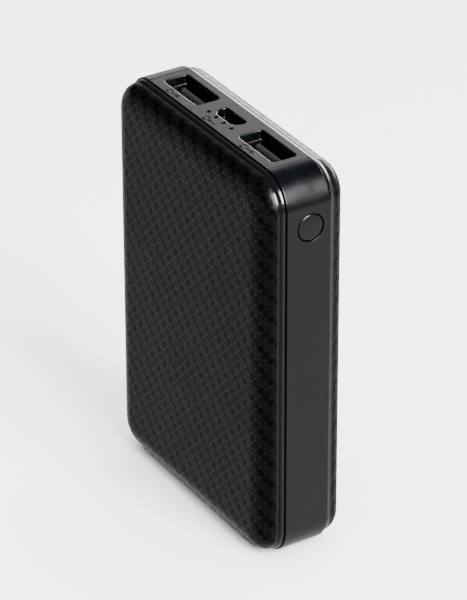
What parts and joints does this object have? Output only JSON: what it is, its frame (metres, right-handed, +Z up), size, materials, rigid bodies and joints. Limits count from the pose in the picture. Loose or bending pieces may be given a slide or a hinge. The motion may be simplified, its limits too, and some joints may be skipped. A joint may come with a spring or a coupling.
{
  "type": "power bank",
  "caption": "Compact power bank with woven-relief covers around a plain frame, USB-A outputs and a micro-USB input in a top panel, and a round side button.",
  "frame": {"origin": "middle of the bottom edge that the power bank stands on", "axes": "+X towards the side with the power button, +Y through the thickness to the rear cover, +Z up towards the ports"},
  "size_m": [0.0628, 0.0212, 0.093],
  "materials": {
    "cover_gloss": "black moulded shell with a pressed weave under gloss",
    "frame_satin": "black, satin gloss",
    "panel_satin": "black, fine satin grain",
    "button_satin": "black, satin gloss",
    "switch_moulding": "dark moulded nylon",
    "switch_pin": "tan moulded nylon",
    "board_mask": "green solder mask",
    "port_shell": "nickel-plated sheet, warm",
    "port_insulator": "black moulded nylon",
    "contact_plating": "gold-flashed strip",
    "lamp_chip": "white lamp package",
    "light_guide": "clear acrylic",
    "chip_package": "black moulded package",
    "ferrite": "pressed ferrite",
    "capacitor_body": "fired ceramic block",
    "screw_steel": "zinc plated",
    "pouch_foil": "laminated foil pouch",
    "nickel_strip": "nickel strip",
    "foam": "closed-cell foam",
    "adhesive": "double-sided pad",
    "card": "insulating card"
  },
  "bodies": {
    "case": {"front_cover": "cover_gloss", "rear_cover": "cover_gloss", "mid_frame": "frame_satin", "port_panel": "panel_satin", "switch_body": "switch_moulding", "circuit_board": "board_mask", "usb_a_left_shell": "port_shell", "usb_a_right_shell": "port_shell", "usb_a_left_tongue": "port_insulator", "usb_a_right_tongue": "port_insulator", "usb_a_left_contacts": "contact_plating", "usb_a_right_contacts": "contact_plating", "micro_usb_shell": "port_shell", "micro_usb_tongue": "port_insulator", "micro_usb_contacts": "contact_plating", "status_leds": "lamp_chip", "led_light_guide": "light_guide", "controller_chip": "chip_package", "power_transistors": "chip_package", "power_inductor": "ferrite", "filter_capacitors": "capacitor_body", "board_screws": "screw_steel", "front_cell": "pouch_foil", "rear_cell": "pouch_foil", "front_cell_tabs": "nickel_strip", "rear_cell_tabs": "nickel_strip", "cell_adhesive_pad": "adhesive", "front_foam_pad": "foam", "rear_foam_pad": "foam", "insulating_card": "card"},
    "button": {"power_button": "button_satin", "switch_plunger": "switch_pin"}
  },
  "joints": [
    {"name": "power_button_press", "type": "slide", "parent": "case", "child": "button", "axis": [-1, 0, 0], "range_m": [0, 0.00035], "stiffness_N_per_m": 1200, "springref_m": -0.0004}
  ]
}
